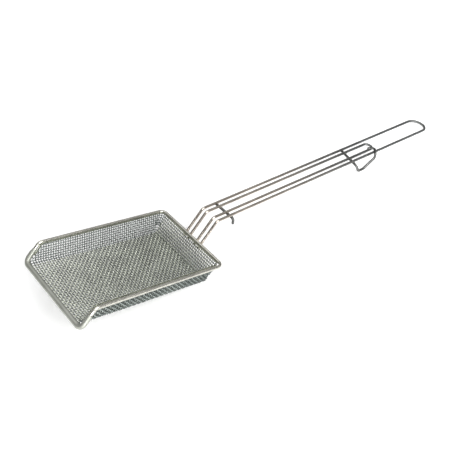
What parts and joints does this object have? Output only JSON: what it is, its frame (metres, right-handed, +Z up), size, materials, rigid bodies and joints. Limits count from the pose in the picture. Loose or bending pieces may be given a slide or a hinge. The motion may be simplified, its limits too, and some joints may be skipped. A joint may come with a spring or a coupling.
{
  "type": "fryer skimmer",
  "caption": "Long-handled skimmer with a rectangular folded wire-mesh scoop in a bent rod rim, a smooth lip, a double wire loop handle and a side hook.",
  "frame": {"origin": "centre of the bounding box's bottom face, on the table that the skimmer lies on", "axes": "+Y from the scoop's lip towards the grip, +Z up from the table, +X to the right seen from the lip"},
  "size_m": [0.1422, 0.6968, 0.0748],
  "materials": {
    "plated_wire": "satin nickel-plated steel",
    "sheet_steel": "smooth satin",
    "woven_steel": "woven wire"
  },
  "bodies": {
    "root": {"rim_frame": "plated_wire", "front_lip": "sheet_steel", "mesh_basket": "woven_steel", "outer_handle_wire": "plated_wire", "inner_handle_wire": "plated_wire", "front_cross_bar": "plated_wire", "hook_wire": "plated_wire"}
  },
  "joints": []
}
